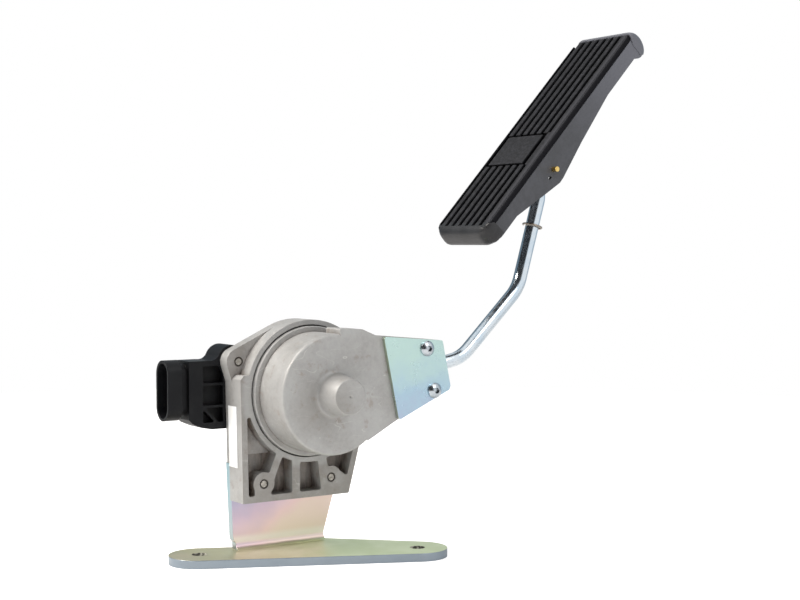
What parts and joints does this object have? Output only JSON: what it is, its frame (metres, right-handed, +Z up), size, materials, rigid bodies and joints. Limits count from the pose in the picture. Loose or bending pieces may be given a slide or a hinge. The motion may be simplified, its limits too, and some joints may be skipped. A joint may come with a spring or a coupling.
{
  "type": "accelerator pedal",
  "caption": "Floor-mounted electronic accelerator pedal: folded bracket, cast housing with sprung lever drum, bent rod, tilting foot pad and rear position sensor with connector.",
  "frame": {"origin": "middle of the two fixing holes, on the underside of the bracket plate", "axes": "+Z up from the floor plate, pivot axis along Y with the lever drum facing -Y, foot pad towards +X"},
  "size_m": [0.371, 0.1124, 0.3925],
  "materials": {
    "yellow_zinc": "yellow zinc plating with rainbow tints",
    "casting": "raw die casting, stained",
    "clear_zinc": "clear blue zinc plating",
    "screw_steel": "bright zinc plating",
    "bush_bronze": "sintered bronze",
    "washer_plastic": "natural nylon",
    "sensor_plastic": "black glass-filled plastic",
    "board": "green board",
    "seal_rubber": "black rubber",
    "terminal": "tinned brass",
    "label": "blank white sticker",
    "spring_steel": "oiled spring steel",
    "magnet": "bonded magnet",
    "pad_black": "black moulded pad, fine texture",
    "tread_rubber": "ribbed black rubber",
    "pin_brass": "brass plated pin"
  },
  "bodies": {
    "base": {"mounting_bracket": "yellow_zinc", "housing": "casting", "bracket_screws": "screw_steel", "sensor_screws": "screw_steel", "front_bush": "bush_bronze", "rear_bush": "bush_bronze", "sensor_body": "sensor_plastic", "sensor_cover": "sensor_plastic", "sensor_board": "board", "sensor_seal": "seal_rubber", "connector_terminals": "terminal", "label": "label", "return_spring_outer": "spring_steel", "return_spring_inner": "spring_steel"},
    "lever": {"hub_arm": "casting", "pivot_shaft": "screw_steel", "thrust_washer": "washer_plastic", "rear_washer": "screw_steel", "retaining_clip": "spring_steel", "sensor_rotor": "sensor_plastic", "sensor_magnet": "magnet", "clamp_plate": "clear_zinc", "clamp_screws": "screw_steel", "pedal_rod": "clear_zinc", "pad_spring": "spring_steel"},
    "pad": {"pad_body": "pad_black", "pad_tread": "tread_rubber", "pad_pin": "pin_brass", "pin_retainer": "screw_steel"}
  },
  "joints": [
    {"name": "lever_swing", "type": "hinge", "parent": "base", "child": "lever", "pos_m": [0.0085, 0, 0.1205], "axis": [0, 1, 0], "range_deg": [0, 20], "stiffness_Nm_per_rad": 8, "springref_deg": -34.38, "deforming": ["return_spring_outer", "return_spring_inner"]},
    {"name": "pad_tilt", "type": "hinge", "parent": "lever", "child": "pad", "pos_m": [0.1851, -0.01775, 0.2841], "axis": [0, 1, 0], "range_deg": [0, 15], "stiffness_Nm_per_rad": 0.4, "springref_deg": -45.84, "deforming": ["pad_spring"]}
  ]
}
